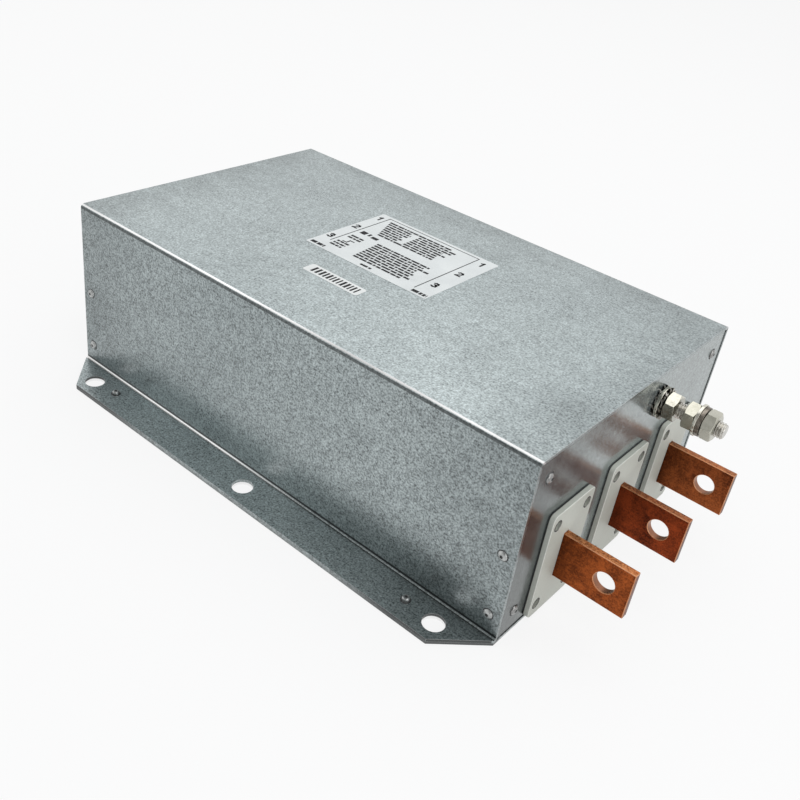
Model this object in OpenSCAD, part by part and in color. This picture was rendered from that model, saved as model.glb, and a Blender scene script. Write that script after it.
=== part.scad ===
// Three-phase EMI line filter for bolting down: a folded galvanised case with
// mounting flanges, a copper busbar through it for each phase, insulating plates
// round the bars and an earth stud on each end wall.  Inside, two cores sit over
// the bars and a capacitor board taps them at each end.
// Millimetres, +Z up, origin at the middle of the underside.
// +X is the load end and -X the line end.

/* [Case] */
// Length of the case between the edges of the cover
case_length = 300; // [280:1:400]
// Width of the case over its long walls
case_width = 180; // [176:1:220]
// Height of the case over the top sheet
case_height = 100; // [96:1:140]
// Thickness of the galvanised sheet
sheet = 1.5; // [1:0.1:2]
// Inside radius of every bend in the sheet
inside_bend = 0.8; // [0.5:0.1:1.2]
// Depth of the end walls behind the edges of the cover
end_inset = 0.4; // [0:0.1:1.5]

/* [Mounting flanges] */
// Width of each flange beyond the long wall
flange_width = 22.5; // [20:0.5:35]
// Width of flange left uncut where it meets the end of the case
flange_root = 1.1; // [0.9:0.1:5]
// Diameter of the mounting holes
mount_hole_d = 11; // [7:0.5:13]
// Distance of the mounting holes from the long wall
mount_hole_from_wall = 12.5; // [10:0.5:14]
// Distance of the outer mounting holes from the end of the case
mount_hole_from_end = 25; // [24:1:40]
// Number of mounting holes in each flange
mount_holes_per_side = 3; // [2:1:5]

/* [Busbars] */
// Distance of the outer bars from the long walls, measured to the middle of the bar
outer_bar_from_wall = 38; // [34:0.5:46]
// Height of a bar, which stands on edge
bar_height = 25; // [18:0.5:28]
// Thickness of a bar
bar_thickness = 4; // [3:0.5:6]
// Length of bar beyond each end of the case
bar_reach = 38.5; // [28:0.5:60]
// Diameter of the terminal hole in a bar
bar_hole_d = 10.5; // [6:0.1:12]
// Distance of the terminal hole from the tip of the bar
bar_hole_from_tip = 12.5; // [8:0.5:18]

/* [Terminal plates] */
// Width of an insulating plate
plate_width = 35; // [32:0.5:37]
// Height of an insulating plate
plate_height = 60; // [52:0.5:61]
// Thickness of an insulating plate
plate_thickness = 3; // [2.6:0.1:5]
// Radius of the corners of an insulating plate
plate_corner = 3; // [1:0.5:6]
// Distance of the middle of a plate to the side of the bar through it
plate_shift = 1; // [0:0.5:2]
// Distance of the middle of a plate below the middle of the bar
plate_drop = 0.7; // [0:0.1:2]
// Distance of the plate rivets from the long edges of the plate
plate_rivet_side_inset = 5.2; // [4.5:0.1:6]
// Distance of the plate rivets from the top and bottom edges of the plate
plate_rivet_end_inset = 7; // [4.5:0.5:9]
// Thickness of plate left under the sunk head of a rivet
plate_rivet_seat = 1; // [0.8:0.1:1.2]

/* [Rivets] */
// Diameter of the body of a rivet
rivet_d = 3.2; // [2.4:0.1:3.4]
// Diameter of the head of a rivet
rivet_head_d = 5; // [4.6:0.1:6]
// Height of the upper side rivets above the underside
side_rivet_upper = 48; // [40:0.5:70]
// Height of the lower side rivets above the underside
side_rivet_lower = 14; // [10:0.5:25]
// Distance of the side rivets from the end of the case
side_rivet_from_end = 6.5; // [6:0.1:9]
// Distance of the end wall rivets from the long wall
end_rivet_from_wall = 11.5; // [9:0.5:12]
// Distance of the end wall rivets from the top and from the underside
end_rivet_from_edge = 13; // [9:0.5:20]
// Distance of the flange rivets from the outer mounting holes
flange_rivet_from_hole = 17.5; // [12:0.5:25]
// Distance of the flange rivets from the long wall
flange_rivet_from_wall = 11; // [6:0.5:15]

/* [Corner angles] */
// Width of each leg
angle_leg = 12; // [12:0.5:16]

/* [Earth studs] */
// Thread diameter of the earth stud
stud_d = 8; // [6:0.5:8]
// Distance of the earth stud from the middle of the end wall
stud_y = 20.5; // [20:0.5:26]
// Distance of the earth stud below the top of the case
stud_from_top = 17; // [16:0.5:25]
// Length of stud beyond its last nut
stud_free_end = 4.1; // [3:0.1:10]
// Width of a nut across its flats
nut_across_flats = 13; // [11:0.1:13.5]
// Height of a nut
nut_height = 5.8; // [5:0.1:6.8]
// Outside diameter of a flat washer
washer_od = 16; // [14:0.1:17]
// Thickness of a flat washer
washer_thickness = 1.5; // [1:0.1:1.8]
// Outside diameter of the spring washer
spring_washer_od = 14.8; // [12:0.1:15]
// Thickness of the spring washer
spring_washer_thickness = 2; // [1.2:0.1:2.2]
// Outside diameter of a toothed washer
toothed_washer_od = 16.4; // [14:0.1:17]
// Thickness of a toothed washer over its twisted teeth
toothed_washer_thickness = 1.6; // [1.2:0.1:2]
// Length of bare thread between the first nut and the second at the load end
bare_thread = 4.2; // [1:0.1:8]

/* [Labels] */
// Length of the rating label
rating_label_length = 83; // [40:1:120]
// Width of the rating label
rating_label_width = 65; // [40:1:68]
// Distance of the rating label's middle from the middle of the case, lengthwise
rating_label_x = -6; // [-40:1:40]
// Distance of the rating label's middle from the middle of the case, crosswise
rating_label_y = 12.5; // [10:0.5:30]
// Length of the small serial label
serial_label_length = 37; // [20:1:60]
// Width of the small serial label
serial_label_width = 9; // [6:0.5:12]
// Gap between the two labels
label_gap = 17; // [5:0.5:25]
// Thickness of the label film
label_thickness = 0.15; // [0.1:0.05:0.3]

/* [Choke] */
// Radial build of a core round its window
core_build = 13.5; // [11:0.5:14.5]
// Length of a core along the bars
core_length = 36; // [20:1:37]
// Gap between the two cores
core_gap = 6; // [1:0.5:7]
// Thickness of the liner between a bar and the core
liner_margin = 4.5; // [3:0.5:5]
// Thickness of the insulating sheet under the cores
insulation = 0.5; // [0.3:0.1:1]

/* [Capacitor boards] */
// Length of a board along the bars
board_length = 78; // [76:1:84]
// Width of board left beside the outer lug
board_margin = 2; // [1:0.5:6]
// Thickness of a board
board_thickness = 1.6; // [1:0.1:2.4]
// Height of the board above the bars
board_rise = 7; // [6:0.5:10]
// Height of an X capacitor
x_capacitor_height = 32; // [20:1:36]
// Height of a Y capacitor
y_capacitor_height = 16; // [10:1:24]

/* [Hidden] */
$fn = 48;

load = 1;
line = -1;
phases = [-1, 0, 1];
sides = [-1, 1];
over = 1;

// Clearances
sheet_gap = 0.2;
slot_gap = 0.2;
hole_gap = 0.1;
liner_gap = 0.3;

// Planes of the case
outside_bend = inside_bend + sheet;
half_length = case_length / 2;
half_width = case_width / 2;
inner_half_width = half_width - sheet;
flange_half_width = half_width + flange_width;
wall_outer_x = half_length - end_inset;
wall_inner_x = wall_outer_x - sheet;
floor_z = sheet;
ceiling_z = case_height - sheet;

// Bars, plates and cores, stacked up from the floor
window_height = bar_height + 2 * liner_margin;
core_height = window_height + 2 * core_build;
bar_pitch = half_width - outer_bar_from_wall;
bar_z = floor_z + insulation + core_height / 2;
bar_top = bar_z + bar_height / 2;
bar_tip_x = half_length + bar_reach;
round_overlap = 7;
window_width = 2 * bar_pitch + bar_thickness + window_height - 2 * round_overlap;
core_width = window_width + 2 * core_build;
core_x = (core_gap + core_length) / 2;
core_end_x = core_gap / 2 + core_length;
wall_slot_margin = 6;
// A plate stops short of the base plate
plate_bottom = max(bar_z - plate_drop - plate_height / 2, floor_z + slot_gap);
plate_top = bar_z - plate_drop + plate_height / 2;
plate_z = (plate_bottom + plate_top) / 2;
plate_rivet_y = plate_width / 2 - plate_rivet_side_inset;
plate_rivet_zs = [plate_bottom + plate_rivet_end_inset, plate_top - plate_rivet_end_inset];
plate_rivet_recess_d = rivet_head_d + 4 * slot_gap;

// Mounting holes and flange rivets
mount_hole_y = half_width + mount_hole_from_wall;
outer_mount_hole_x = half_length - mount_hole_from_end;
mount_hole_pitch = 2 * outer_mount_hole_x / (mount_holes_per_side - 1);
mount_hole_xs = [for (i = [0:mount_holes_per_side - 1]) i * mount_hole_pitch - outer_mount_hole_x];
flange_rivet_x = outer_mount_hole_x - flange_rivet_from_hole;
flange_rivet_y = half_width + flange_rivet_from_wall;

// Rivets
rivet_hole_d = rivet_d + 2 * hole_gap;
rivet_dome = 1.3;
rivet_bulb_d = rivet_d + 0.5;
rivet_bulb_length = 3;
mandrel_d = rivet_d / 2;
mandrel_depth = 1;
side_rivet_x = half_length - side_rivet_from_end;
side_rivet_zs = [side_rivet_lower, side_rivet_upper];
end_rivet_y = half_width - end_rivet_from_wall;
end_rivet_zs = [end_rivet_from_edge, case_height - end_rivet_from_edge];

// Earth stud, from the wall outwards
stud_z = case_height - stud_from_top;
stud_hole_d = stud_d + 4 * hole_gap;
bolt_head_height = 0.66 * stud_d;
thread_chamfer = 0.8;
load_stack = ["toothed", "flat", "toothed", "nut", "bare", "nut", "flat", "spring", "nut"];
line_stack = ["toothed", "flat", "toothed", "nut", "flat", "spring", "nut"];
nut_turns = [0, 0, 26];
function stack(end) = end == load ? load_stack : line_stack;
function height_of(kind) =
    kind == "toothed" ? toothed_washer_thickness :
    kind == "flat" ? washer_thickness :
    kind == "spring" ? spring_washer_thickness :
    kind == "nut" ? nut_height : bare_thread;
function stack_x(end, i) = i == 0 ? wall_outer_x : stack_x(end, i - 1) + height_of(stack(end)[i - 1]);
function places_of(end, kind) =
    [for (i = [0:len(stack(end)) - 1]) if (stack(end)[i] == kind) stack_x(end, i)];
function stud_end_x(end) = stack_x(end, len(stack(end))) + stud_free_end;
// Inside a nut the thread is drawn at its pitch diameter
thread_depth = 0.8;
engaged_d = stud_d - thread_depth;
engaged_overrun = 0.3;
tooth_count = 12;

// Boards and what stands on them, with places along the board from its middle
board_x = (core_end_x + wall_inner_x) / 2;
board_bottom = bar_top + board_rise;
board_top = board_bottom + board_thickness;
lug_thickness = 1.5;
lug_width = 12;
lug_reach = 14;
lug_screw_reach = 9;
lug_from_edge = 8;
lug_dx = lug_from_edge - board_length / 2;
lug_foot = 6;
board_width = 2 * (bar_pitch + bar_thickness / 2 + lug_reach + board_margin);
strap_thickness = 1;
strap_width = 7;
strap_dx = (board_length - strap_width) / 2;
screw_d = 4;
screw_head_d = 7;
screw_head_height = 2.6;
screw_nut_across_flats = 7;
screw_nut_height = 3.2;
screw_end = 1;
lead_d = 1.2;
lead_hole_d = 1.6;
lead_stub = 2;
capacitor_bevel = 0.8;
x_capacitor_length = 41.5;
x_capacitor_depth = 20;
x_capacitor_lead_pitch = 37.5;
capacitor_gap = 3;
x_capacitor_dy = (x_capacitor_length + 2 * capacitor_gap) / 2;
x_row_1_dx = lug_dx + (lug_width + x_capacitor_depth) / 2 + capacitor_gap;
x_row_2_dx = x_row_1_dx + x_capacitor_depth + capacitor_gap;
x_capacitor_places = [[x_row_1_dx, -x_capacitor_dy], [x_row_1_dx, x_capacitor_dy], [x_row_2_dx, 0]];
y_capacitor_length = 18;
y_capacitor_depth = 10;
y_capacitor_lead_pitch = 15;
y_capacitor_dy = 45;
y_row_dx = x_row_2_dx + (x_capacitor_depth + y_capacitor_depth) / 2 + capacitor_gap;
y_capacitor_places = [for (phase = phases) [y_row_dx, phase * y_capacitor_dy]];
resistor_d = 5;
resistor_length = 15;
resistor_lead_pitch = 20;
resistor_rise = 1;
resistor_inner_dy = 38;
resistor_outer_dy = 55;
resistor_places = [for (dy = [-resistor_outer_dy, -resistor_inner_dy, resistor_inner_dy]) [x_row_2_dx, dy]];

// Placing and small shapes

module at_end(end) {
    if (end == line)
        mirror([1, 0, 0]) children();
    else
        children();
}

// Stands the Z axis of its children along +X
module along_x() {
    rotate([0, 90, 0]) children();
}

module rounded_rectangle(size, radius) {
    square([size.x - 2 * radius, size.y], center = true);
    square([size.x, size.y - 2 * radius], center = true);
    for (x = sides, y = sides)
        translate([x * (size.x / 2 - radius), y * (size.y / 2 - radius)]) circle(radius);
}

module stadium(width, height) {
    square([width - height, height], center = true);
    for (side = sides)
        translate([side * (width - height) / 2, 0]) circle(height / 2);
}

// Quarter of a bent sheet's section, in the quadrant of +x and +y
module bend_section() {
    difference() {
        intersection() {
            circle(outside_bend);
            square(outside_bend);
        }
        circle(inside_bend);
    }
}

// Drilled disc with its underside at z = 0
module washer(outer_d, inner_d, thickness) {
    difference() {
        cylinder(d = outer_d, h = thickness);
        translate([0, 0, -over]) cylinder(d = inner_d, h = thickness + 2 * over);
    }
}

// Hexagon with its corners turned off at one face or at both
module chamfered_hexagon(across_flats, height, both_faces) {
    corner_r = across_flats / sqrt(3);
    flat_r = 0.47 * across_flats;
    chamfer = (corner_r - flat_r) * tan(30);
    far_r = both_faces ? flat_r : corner_r;
    intersection() {
        cylinder(r = corner_r, h = height, $fn = 6);
        rotate_extrude() polygon([
            [0, 0], [flat_r, 0], [corner_r, chamfer],
            [corner_r, height - chamfer], [far_r, height], [0, height]
        ]);
    }
}

module nut(across_flats, height, thread_d) {
    difference() {
        chamfered_hexagon(across_flats, height, true);
        translate([0, 0, -over]) cylinder(d = thread_d + 2 * hole_gap, h = height + 2 * over);
    }
}

// Blind rivet along Z: domed head on z = 0, body down through the grip, bulb under it
function dome_points(radius, height, steps) =
    [for (i = [0:steps]) [radius * cos(i * 90 / steps), height * sin(i * 90 / steps)]];

module blind_rivet(grip) {
    difference() {
        rotate_extrude() polygon(concat(
            [[0, -grip - rivet_bulb_length], [mandrel_d / 2, -grip - rivet_bulb_length],
             [rivet_bulb_d / 2, -grip - 0.6 * rivet_bulb_length], [rivet_bulb_d / 2, -grip],
             [rivet_d / 2, -grip], [rivet_d / 2, 0]],
            dome_points(rivet_head_d / 2, rivet_dome, 6)
        ));
        translate([0, 0, rivet_dome - mandrel_depth]) cylinder(d = mandrel_d, h = mandrel_depth + over);
    }
}

// Round-headed screw along Z: underside of the head on z = 0, body downwards
module screw(body_length) {
    socket_depth = screw_head_height / 2;
    difference() {
        union() {
            cylinder(d = screw_head_d, h = screw_head_height);
            translate([0, 0, -body_length]) cylinder(d = screw_d, h = body_length + over);
        }
        translate([0, 0, screw_head_height - socket_depth])
            cylinder(d = screw_d * 0.7, h = socket_depth + over, $fn = 6);
    }
}

// Places shared by a hole and what goes through it

module at_mount_holes() {
    for (side = sides, x = mount_hole_xs)
        translate([x, side * mount_hole_y, 0]) children();
}

module at_flange_rivets() {
    for (x = sides, y = sides)
        translate([x * flange_rivet_x, y * flange_rivet_y, 0]) children();
}

// On the outer face of both long walls, with Z pointing out
module at_side_rivets() {
    for (x = sides, y = sides, z = side_rivet_zs)
        translate([x * side_rivet_x, y * half_width, z]) rotate([-90 * y, 0, 0]) children();
}

// On the outer face of both end walls, with Z pointing out
module at_end_wall_rivets() {
    for (x = sides, y = sides, z = end_rivet_zs)
        translate([x * wall_outer_x, y * end_rivet_y, z]) rotate([0, 90 * x, 0]) children();
}

module at_plate_rivets(phase) {
    for (y = sides, z = plate_rivet_zs)
        translate([wall_outer_x, phase * bar_pitch + plate_shift + y * plate_rivet_y, z])
            along_x() children();
}

module at_stud(x) {
    translate([x, stud_y, stud_z]) along_x() children();
}

// The screw through a bar and its lug, with Z pointing from the lug to the bar
module at_bar_screws() {
    for (phase = phases)
        translate([board_x + lug_dx, phase * bar_pitch - bar_thickness / 2, bar_z])
            rotate([90, 0, 0]) children();
}

module at_lug_screws() {
    for (phase = phases)
        translate([board_x + lug_dx, phase * bar_pitch + bar_thickness / 2 + lug_screw_reach, 0])
            children();
}

module at_strap_screw() {
    translate([board_x + strap_dx, stud_y, 0]) children();
}

module at_leads(places, pitch, along_board) {
    for (place = places, side = sides)
        translate([board_x + place.x, place.y, 0])
            translate(along_board ? [side * pitch / 2, 0, 0] : [0, side * pitch / 2, 0]) children();
}

// Case

module flange_outline() {
    cut = flange_width - flange_root;
    polygon([
        [-half_length + cut, -flange_half_width], [half_length - cut, -flange_half_width],
        [half_length, -half_width - flange_root], [half_length, half_width + flange_root],
        [half_length - cut, flange_half_width], [-half_length + cut, flange_half_width],
        [-half_length, half_width + flange_root], [-half_length, -half_width - flange_root]
    ]);
}

// Half of the folded section: top, long wall and flange, with y across and z up
module cover_half_section() {
    flange_z = floor_z;
    wall_foot = flange_z + outside_bend;
    translate([0, ceiling_z]) square([half_width - outside_bend, sheet]);
    translate([half_width - outside_bend, case_height - outside_bend]) bend_section();
    translate([inner_half_width, wall_foot]) square([sheet, case_height - outside_bend - wall_foot]);
    translate([half_width + inside_bend, wall_foot]) rotate(180) bend_section();
    translate([half_width + inside_bend, flange_z]) square([flange_width - inside_bend, sheet]);
}

module cover() {
    color("lightsteelblue") difference() {
        intersection() {
            translate([-half_length, 0, 0]) rotate([90, 0, 90]) linear_extrude(case_length) {
                cover_half_section();
                mirror([1, 0]) cover_half_section();
            }
            linear_extrude(case_height) flange_outline();
        }
        at_mount_holes() cylinder(d = mount_hole_d, h = case_height / 2);
        at_flange_rivets() cylinder(d = rivet_hole_d, h = case_height / 2);
        at_side_rivets() translate([0, 0, -sheet - over]) cylinder(d = rivet_hole_d, h = sheet + 2 * over);
    }
}

module base_plate() {
    color("silver") difference() {
        linear_extrude(sheet) flange_outline();
        at_mount_holes() translate([0, 0, -over]) cylinder(d = mount_hole_d, h = sheet + 2 * over);
        at_flange_rivets() translate([0, 0, -over]) cylinder(d = rivet_hole_d, h = sheet + 2 * over);
    }
}

module end_wall(end) {
    half = inner_half_width - sheet_gap;
    top = ceiling_z - sheet_gap;
    color("lightgray") at_end(end) difference() {
        translate([wall_inner_x, 0, 0]) rotate([90, 0, 90]) linear_extrude(sheet) polygon([
            [-half, floor_z], [half, floor_z], [half, top - inside_bend],
            [half - inside_bend, top], [-half + inside_bend, top], [-half, top - inside_bend]
        ]);
        for (phase = phases) {
            translate([wall_inner_x - over, phase * bar_pitch, bar_z]) rotate([90, 0, 90])
                linear_extrude(sheet + 2 * over) square(
                    [bar_thickness + 2 * wall_slot_margin, bar_height + 2 * wall_slot_margin], center = true);
            at_plate_rivets(phase) translate([0, 0, -sheet - over])
                cylinder(d = rivet_hole_d, h = sheet + 2 * over);
        }
        at_end_wall_rivets() translate([0, 0, -sheet - over])
            cylinder(d = rivet_hole_d, h = sheet + 2 * over);
        at_stud(wall_inner_x - over) cylinder(d = stud_hole_d, h = sheet + 2 * over);
    }
}

// Section of an angle with its outer corner at the origin and its legs on +x and +y
module angle_section() {
    translate([outside_bend, outside_bend]) rotate(180) bend_section();
    translate([outside_bend, 0]) square([angle_leg - outside_bend, sheet]);
    translate([0, outside_bend]) square([sheet, angle_leg - outside_bend]);
}

module corner_angles() {
    color("gainsboro") difference() {
        for (x = sides, y = sides)
            scale([x, y, 1]) translate([wall_inner_x, inner_half_width - sheet_gap, floor_z])
                rotate(180) linear_extrude(ceiling_z - floor_z - inside_bend) angle_section();
        at_side_rivets() translate([0, 0, -3 * sheet]) cylinder(d = rivet_hole_d, h = 4 * sheet);
        at_end_wall_rivets() translate([0, 0, -3 * sheet]) cylinder(d = rivet_hole_d, h = 4 * sheet);
    }
}

module side_rivets() {
    color("dimgray") at_side_rivets() blind_rivet(2 * sheet + sheet_gap);
}

module end_wall_rivets() {
    color("dimgray") at_end_wall_rivets() blind_rivet(2 * sheet);
}

// Blind rivets set from below: flush with the underside, with the drilled tail on the flange
module flange_rivets() {
    tail_r = rivet_d / 2 + 0.3;
    tail_top = 2 * sheet + 1.9;
    tail_bevel = 0.5;
    color("dimgray") at_flange_rivets() rotate_extrude() polygon([
        [0, 0], [rivet_d / 2, 0], [rivet_d / 2, 2 * sheet], [tail_r, 2 * sheet],
        [tail_r, tail_top - tail_bevel], [tail_r - tail_bevel, tail_top], [mandrel_d / 2, tail_top],
        [mandrel_d / 2, tail_top - mandrel_depth], [0, tail_top - mandrel_depth]
    ]);
}

// Terminals

module busbar(phase) {
    color("peru") translate([0, phase * bar_pitch, bar_z]) difference() {
        cube([2 * bar_tip_x, bar_thickness, bar_height], center = true);
        for (end = sides) {
            translate([end * (bar_tip_x - bar_hole_from_tip), 0, 0]) rotate([90, 0, 0])
                cylinder(d = bar_hole_d, h = bar_thickness + 2 * over, center = true);
            translate([end * (board_x + lug_dx), 0, 0]) rotate([90, 0, 0])
                cylinder(d = screw_d + 2 * hole_gap, h = bar_thickness + 2 * over, center = true);
        }
    }
}

module terminal_plate(end, phase) {
    color("beige") at_end(end) difference() {
        translate([wall_outer_x, phase * bar_pitch, 0]) rotate([90, 0, 90])
            linear_extrude(plate_thickness) difference() {
                translate([plate_shift, plate_z])
                    rounded_rectangle([plate_width, plate_top - plate_bottom], plate_corner);
                translate([0, bar_z])
                    square([bar_thickness + 2 * slot_gap, bar_height + 2 * slot_gap], center = true);
            }
        at_plate_rivets(phase) {
            translate([0, 0, -over]) cylinder(d = rivet_hole_d, h = plate_thickness + 2 * over);
            translate([0, 0, plate_rivet_seat]) cylinder(d = plate_rivet_recess_d, h = plate_thickness);
        }
    }
}

module plate_rivets(end) {
    color("gray") at_end(end) for (phase = phases)
        at_plate_rivets(phase) translate([0, 0, plate_rivet_seat]) blind_rivet(plate_rivet_seat + sheet);
}

// Earth studs

module earth_bolt(end) {
    head_x = wall_inner_x - strap_thickness - bolt_head_height;
    shank_length = stud_end_x(end) - head_x;
    color("silver") at_end(end) difference() {
        at_stud(head_x) {
            chamfered_hexagon(nut_across_flats, bolt_head_height, false);
            cylinder(d = stud_d, h = shank_length - thread_chamfer);
            translate([0, 0, shank_length - thread_chamfer])
                cylinder(d1 = stud_d, d2 = stud_d - 2 * thread_chamfer, h = thread_chamfer);
        }
        for (x = places_of(end, "nut"))
            at_stud(x - engaged_overrun) washer(stud_d + 1, engaged_d, nut_height + 2 * engaged_overrun);
    }
}

module earth_nuts(end) {
    xs = places_of(end, "nut");
    color("whitesmoke") at_end(end) for (i = [0:len(xs) - 1])
        at_stud(xs[i]) rotate(nut_turns[i]) nut(nut_across_flats, nut_height, engaged_d);
}

module earth_flat_washers(end) {
    color("gainsboro") at_end(end)
        for (x = places_of(end, "flat"))
            at_stud(x) washer(washer_od, stud_hole_d, washer_thickness);
}

// Ring with twisted teeth round its rim
module toothed_washer() {
    blade = 0.4 * toothed_washer_thickness;
    tooth_length = 2;
    tooth_root = 0.6;
    tooth_twist = 35;
    tooth_r = toothed_washer_od / 2;
    rim_r = tooth_r - tooth_length;
    tooth_width = PI * tooth_r / tooth_count;
    translate([0, 0, (toothed_washer_thickness - blade) / 2]) washer(2 * rim_r, stud_hole_d, blade);
    intersection() {
        for (i = [0:tooth_count - 1]) rotate(i * 360 / tooth_count)
            translate([tooth_r - tooth_length / 2, 0, toothed_washer_thickness / 2])
                rotate([tooth_twist, 0, 0])
                    cube([tooth_length + 2 * tooth_root, tooth_width, blade], center = true);
        cylinder(r = tooth_r, h = toothed_washer_thickness);
    }
}

module earth_toothed_washers(end) {
    color("lightgray") at_end(end)
        for (x = places_of(end, "toothed"))
            at_stud(x) toothed_washer();
}

// Split ring, pressed flat by the nut
module earth_spring_washer(end) {
    slit = 0.8;
    slit_slope = 25;
    color("gainsboro") at_end(end) for (x = places_of(end, "spring"))
        at_stud(x) difference() {
            washer(spring_washer_od, stud_hole_d, spring_washer_thickness);
            translate([0, spring_washer_od / 2, spring_washer_thickness / 2]) rotate([0, slit_slope, 0])
                cube([slit, spring_washer_od, 4 * spring_washer_thickness], center = true);
        }
}

// Labels

module rating_label() {
    color("white") translate([rating_label_x, rating_label_y, case_height])
        linear_extrude(label_thickness)
            rounded_rectangle([rating_label_length, rating_label_width], 1);
}

module serial_label() {
    serial_label_y = rating_label_y - rating_label_width / 2 - label_gap - serial_label_width / 2;
    color("white") translate([rating_label_x, serial_label_y, case_height])
        linear_extrude(label_thickness)
            rounded_rectangle([serial_label_length, serial_label_width], 1.5);
}

// Choke

module insulation_sheet() {
    end_margin = 8;
    side_margin = 2;
    color("darkolivegreen") translate([0, 0, floor_z]) linear_extrude(insulation)
        square([2 * (core_end_x + end_margin), 2 * (inner_half_width - side_margin)], center = true);
}

module choke_core(end) {
    color("darkslategray") translate([end * core_x, 0, bar_z]) rotate([90, 0, 90])
        linear_extrude(core_length, center = true) difference() {
            stadium(core_width, core_height);
            stadium(window_width, window_height);
        }
}

// Plug with a slot for each bar, and a lip that rests on the outer face of the core
module core_liner(end) {
    lip = 2;
    lip_reach = 3;
    color("ivory") at_end(end) translate([0, 0, bar_z]) rotate([90, 0, 90]) difference() {
        union() {
            translate([0, 0, core_gap / 2]) linear_extrude(core_length)
                stadium(window_width - 2 * liner_gap, window_height - 2 * liner_gap);
            translate([0, 0, core_end_x]) linear_extrude(lip)
                stadium(window_width + 2 * lip_reach, window_height + 2 * lip_reach);
        }
        for (phase = phases)
            translate([phase * bar_pitch, 0, 0]) linear_extrude(core_end_x + lip + over) square(
                [bar_thickness + 2 * slot_gap, bar_height + 2 * slot_gap], center = true);
    }
}

// Capacitor boards

module board(end) {
    color("darkgreen") at_end(end) difference() {
        translate([board_x, 0, board_bottom]) linear_extrude(board_thickness)
            rounded_rectangle([board_length, board_width], 3);
        translate([0, 0, board_bottom - over]) {
            at_lug_screws() cylinder(d = screw_d + 2 * hole_gap, h = board_thickness + 2 * over);
            at_strap_screw() cylinder(d = screw_d + 2 * hole_gap, h = board_thickness + 2 * over);
            at_leads(x_capacitor_places, x_capacitor_lead_pitch, false)
                cylinder(d = lead_hole_d, h = board_thickness + 2 * over);
            at_leads(y_capacitor_places, y_capacitor_lead_pitch, false)
                cylinder(d = lead_hole_d, h = board_thickness + 2 * over);
            at_leads(resistor_places, resistor_lead_pitch, true)
                cylinder(d = lead_hole_d, h = board_thickness + 2 * over);
        }
    }
}

// Moulded box with bevelled top edges, standing on the board
module capacitor_box(depth, length, height) {
    outline = [
        [-depth / 2, 0], [depth / 2, 0], [depth / 2, height - capacitor_bevel],
        [depth / 2 - capacitor_bevel, height], [-depth / 2 + capacitor_bevel, height],
        [-depth / 2, height - capacitor_bevel]
    ];
    translate([0, length / 2, board_top]) rotate([90, 0, 0]) linear_extrude(length) polygon(outline);
}

module capacitors(places, depth, length, height, pitch) {
    for (place = places)
        translate([board_x + place.x, place.y, 0]) capacitor_box(depth, length, height);
    at_leads(places, pitch, false) translate([0, 0, board_bottom - lead_stub])
        cylinder(d = lead_d, h = board_thickness + lead_stub + over);
}

module x_capacitors(end) {
    color("steelblue") at_end(end) capacitors(x_capacitor_places, x_capacitor_depth,
        x_capacitor_length, x_capacitor_height, x_capacitor_lead_pitch);
}

module y_capacitors(end) {
    color("royalblue") at_end(end) capacitors(y_capacitor_places, y_capacitor_depth,
        y_capacitor_length, y_capacitor_height, y_capacitor_lead_pitch);
}

// Resistors lying along the board on their bent leads
module discharge_resistors(end) {
    axis_z = board_top + resistor_rise + resistor_d / 2;
    color("tan") at_end(end) {
        for (place = resistor_places) translate([board_x + place.x, place.y, axis_z]) along_x() {
            cylinder(d = resistor_d, h = resistor_length, center = true);
            cylinder(d = lead_d, h = resistor_lead_pitch, center = true);
        }
        at_leads(resistor_places, resistor_lead_pitch, true) translate([0, 0, board_bottom - lead_stub])
            cylinder(d = lead_d, h = axis_z - board_bottom + lead_stub + lead_d / 2);
    }
}

// Angle strip from the side of each bar up to the underside of the board
module tap_lugs(end) {
    foot_z = bar_z - lug_foot;
    color("goldenrod") at_end(end) difference() {
        for (phase = phases)
            translate([board_x + lug_dx - lug_width / 2, phase * bar_pitch + bar_thickness / 2, 0])
                rotate([90, 0, 90]) linear_extrude(lug_width) {
                    translate([0, foot_z]) square([lug_thickness, board_bottom - foot_z]);
                    translate([0, board_bottom - lug_thickness]) square([lug_reach, lug_thickness]);
                }
        at_bar_screws() translate([0, 0, -bar_thickness - lug_thickness - over])
            cylinder(d = screw_d + 2 * hole_gap, h = lug_thickness + 2 * over);
        at_lug_screws() translate([0, 0, board_bottom - lug_thickness - over])
            cylinder(d = screw_d + 2 * hole_gap, h = lug_thickness + 2 * over);
    }
}

// Angle strip from under the head of the earth bolt to the top of the board, with a round eye
module earth_strap(end) {
    tip_x = board_x + strap_dx - strap_width / 2;
    color("silver") at_end(end) difference() {
        union() {
            translate([0, stud_y + strap_width / 2, 0]) rotate([90, 0, 0]) linear_extrude(strap_width) {
                translate([tip_x, board_top]) square([wall_inner_x - tip_x, strap_thickness]);
                translate([wall_inner_x - strap_thickness, board_top])
                    square([strap_thickness, stud_z - board_top]);
            }
            at_stud(wall_inner_x - strap_thickness) cylinder(d = washer_od, h = strap_thickness);
        }
        at_stud(wall_inner_x - strap_thickness - over)
            cylinder(d = stud_hole_d, h = strap_thickness + 2 * over);
        at_strap_screw() translate([0, 0, board_top - over])
            cylinder(d = screw_d + 2 * hole_gap, h = strap_thickness + 2 * over);
    }
}

module tap_screws(end) {
    bar_grip = bar_thickness + lug_thickness;
    lug_grip = board_thickness + lug_thickness;
    strap_grip = board_thickness + strap_thickness;
    color("silver") at_end(end) {
        at_bar_screws() screw(bar_grip + screw_nut_height + screw_end);
        at_lug_screws() translate([0, 0, board_bottom - lug_thickness]) rotate([180, 0, 0])
            screw(lug_grip + screw_nut_height + screw_end);
        at_strap_screw() translate([0, 0, board_top + strap_thickness])
            screw(strap_grip + screw_nut_height + screw_end);
    }
}

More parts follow.
